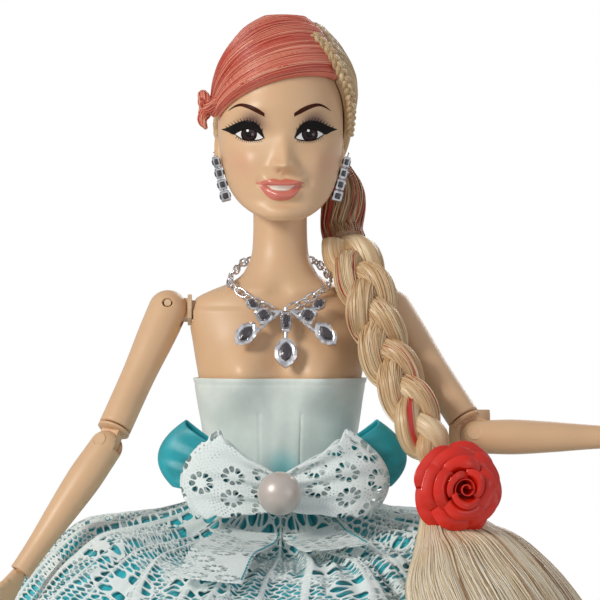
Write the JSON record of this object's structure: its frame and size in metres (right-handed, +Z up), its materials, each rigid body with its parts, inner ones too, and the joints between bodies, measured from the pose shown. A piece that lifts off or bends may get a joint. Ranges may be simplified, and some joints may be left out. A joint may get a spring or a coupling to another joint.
{
  "type": "fashion doll",
  "caption": "Jointed fashion doll in a strapless full-length ball gown, with a long side braid, a rose, a waist bow and silver jewellery.",
  "frame": {"origin": "on the floor, under the middle of the bounding box in X and Y", "axes": "+Z up through the head, the face looks towards -Y, the doll's left hand is on +X"},
  "size_m": [0.2288, 0.2198, 0.2952],
  "materials": {
    "skin": "satin vinyl, painted face on the head",
    "joint_plastic": "plain moulded",
    "blond_hair": "glossy synthetic fibre, blond with darker and red strands",
    "pink_hair": "glossy synthetic fibre, coral pink",
    "mint_satin": "satin",
    "turquoise_satin": "satin",
    "turquoise_ribbon": "satin ribbon",
    "white_lace": "hexagon net with worked flowers and scalloped edges",
    "stiff_net": "stiff petticoat net",
    "red_rose": "gloss",
    "pearl_coat": "pearl lacquer",
    "silver": "plated, with dark recesses",
    "shoe_plastic": "pearly gloss",
    "elastic": "matt"
  },
  "bodies": {
    "torso": {"torso_front": "skin", "torso_back": "skin", "bodice": "mint_satin", "waist_sash": "turquoise_ribbon", "back_flap": "mint_satin", "skirt_petticoat": "stiff_net", "skirt_satin": "turquoise_satin", "skirt_lace": "white_lace", "ribbon_bow": "turquoise_ribbon", "lace_bow": "white_lace", "pearl": "pearl_coat", "bow_tail_right": "white_lace", "bow_tail_left": "white_lace", "necklace_chain": "silver", "necklace_pendant": "silver", "braid": "blond_hair", "braid_band": "elastic", "braid_tail": "blond_hair", "rose": "red_rose"},
    "neck": {"neck_swivel": "joint_plastic"},
    "head": {"head": "skin", "neck_pin": "silver", "hair_crown": "blond_hair", "hair_fringe": "pink_hair", "side_knot": "pink_hair", "side_plait": "blond_hair", "hair_gather": "blond_hair", "ear_drop_right": "silver", "ear_drop_left": "silver"},
    "right_shoulder": {"shoulder_yoke_right": "joint_plastic"},
    "right_upper_arm": {"upper_arm_right": "skin", "shoulder_pin_right": "silver"},
    "right_elbow": {"elbow_knuckle_right": "skin"},
    "right_forearm": {"forearm_right": "skin", "elbow_pin_right": "skin"},
    "right_hand": {"hand_right": "skin"},
    "left_shoulder": {"shoulder_yoke_left": "joint_plastic"},
    "left_upper_arm": {"upper_arm_left": "skin", "shoulder_pin_left": "silver"},
    "left_elbow": {"elbow_knuckle_left": "skin"},
    "left_forearm": {"forearm_left": "skin", "elbow_pin_left": "skin"},
    "left_hand": {"hand_left": "skin"},
    "right_hip": {"hip_yoke_right": "joint_plastic"},
    "right_thigh": {"thigh_right": "skin", "hip_pin_right": "silver"},
    "right_shin": {"shin_right": "skin", "knee_pin_right": "silver", "shoe_right": "shoe_plastic"},
    "left_hip": {"hip_yoke_left": "joint_plastic"},
    "left_thigh": {"thigh_left": "skin", "hip_pin_left": "silver"},
    "left_shin": {"shin_left": "skin", "knee_pin_left": "silver", "shoe_left": "shoe_plastic"}
  },
  "joints": [
    {"name": "head_turn", "type": "hinge", "parent": "torso", "child": "neck", "pos_m": [0, 0.0017, 0.25855], "axis": [0, 0, 1], "range_deg": [-60, 60], "deforming": ["braid"]},
    {"name": "head_nod", "type": "hinge", "parent": "neck", "child": "head", "pos_m": [0, 0.0017, 0.26235], "axis": [0.9976, 0.0698, 0], "range_deg": [-10, 10]},
    {"name": "right_shoulder_swing", "type": "hinge", "parent": "torso", "child": "right_shoulder", "pos_m": [-0.01775, 0, 0.2362], "axis": [-1, 0, 0], "range_deg": [0, 120]},
    {"name": "right_arm_raise", "type": "hinge", "parent": "right_shoulder", "child": "right_upper_arm", "pos_m": [-0.02255, 0, 0.2362], "axis": [0, 0.9171, -0.3987], "range_deg": [0, 95]},
    {"name": "right_elbow_twist", "type": "hinge", "parent": "right_upper_arm", "child": "right_elbow", "pos_m": [-0.03291, -0.01022, 0.21269], "axis": [0.3746, 0.3697, 0.8503], "range_deg": [-10, 60]},
    {"name": "right_elbow_bend", "type": "hinge", "parent": "right_elbow", "child": "right_forearm", "pos_m": [-0.03454, -0.01183, 0.20899], "axis": [0.4537, 0.7266, -0.5159], "range_deg": [0, 77]},
    {"name": "right_wrist_turn", "type": "hinge", "parent": "right_forearm", "child": "right_hand", "pos_m": [-0.05127, -0.01887, 0.18436], "axis": [0.5469, 0.23, 0.805], "range_deg": [-60, 60]},
    {"name": "left_shoulder_swing", "type": "hinge", "parent": "torso", "child": "left_shoulder", "pos_m": [0.01775, 0, 0.2362], "axis": [-1, 0, 0], "range_deg": [-30, 90]},
    {"name": "left_arm_raise", "type": "hinge", "parent": "left_shoulder", "child": "left_upper_arm", "pos_m": [0.02255, 0, 0.2362], "axis": [0, -0.9171, 0.3987], "range_deg": [0, 80]},
    {"name": "left_elbow_twist", "type": "hinge", "parent": "left_upper_arm", "child": "left_elbow", "pos_m": [0.03671, -0.00947, 0.21442], "axis": [-0.512, 0.3425, 0.7877], "range_deg": [-45, 45]},
    {"name": "left_elbow_bend", "type": "hinge", "parent": "left_elbow", "child": "left_forearm", "pos_m": [0.03894, -0.01096, 0.21099], "axis": [-0.0943, -0.9339, 0.3448], "range_deg": [-40, 33]},
    {"name": "left_wrist_turn", "type": "hinge", "parent": "left_forearm", "child": "left_hand", "pos_m": [0.06938, -0.01401, 0.21107], "axis": [-0.995, 0.0995, -0.0024], "range_deg": [-60, 60]},
    {"name": "right_hip_swing", "type": "hinge", "parent": "torso", "child": "right_hip", "pos_m": [-0.00295, 0.0006, 0.165], "axis": [-1, 0, 0], "range_deg": [-15, 20]},
    {"name": "right_leg_spread", "type": "hinge", "parent": "right_hip", "child": "right_thigh", "pos_m": [-0.0101, 0.0006, 0.165], "axis": [0, 1, 0], "range_deg": [0, 20]},
    {"name": "right_knee_bend", "type": "hinge", "parent": "right_thigh", "child": "right_shin", "pos_m": [-0.0101, 0.0006, 0.088], "axis": [1, 0, 0], "range_deg": [0, 45]},
    {"name": "left_hip_swing", "type": "hinge", "parent": "torso", "child": "left_hip", "pos_m": [0.00295, 0.0006, 0.165], "axis": [-1, 0, 0], "range_deg": [-15, 20]},
    {"name": "left_leg_spread", "type": "hinge", "parent": "left_hip", "child": "left_thigh", "pos_m": [0.0101, 0.0006, 0.165], "axis": [0, -1, 0], "range_deg": [0, 20]},
    {"name": "left_knee_bend", "type": "hinge", "parent": "left_thigh", "child": "left_shin", "pos_m": [0.0101, 0.0006, 0.088], "axis": [1, 0, 0], "range_deg": [0, 45]}
  ]
}
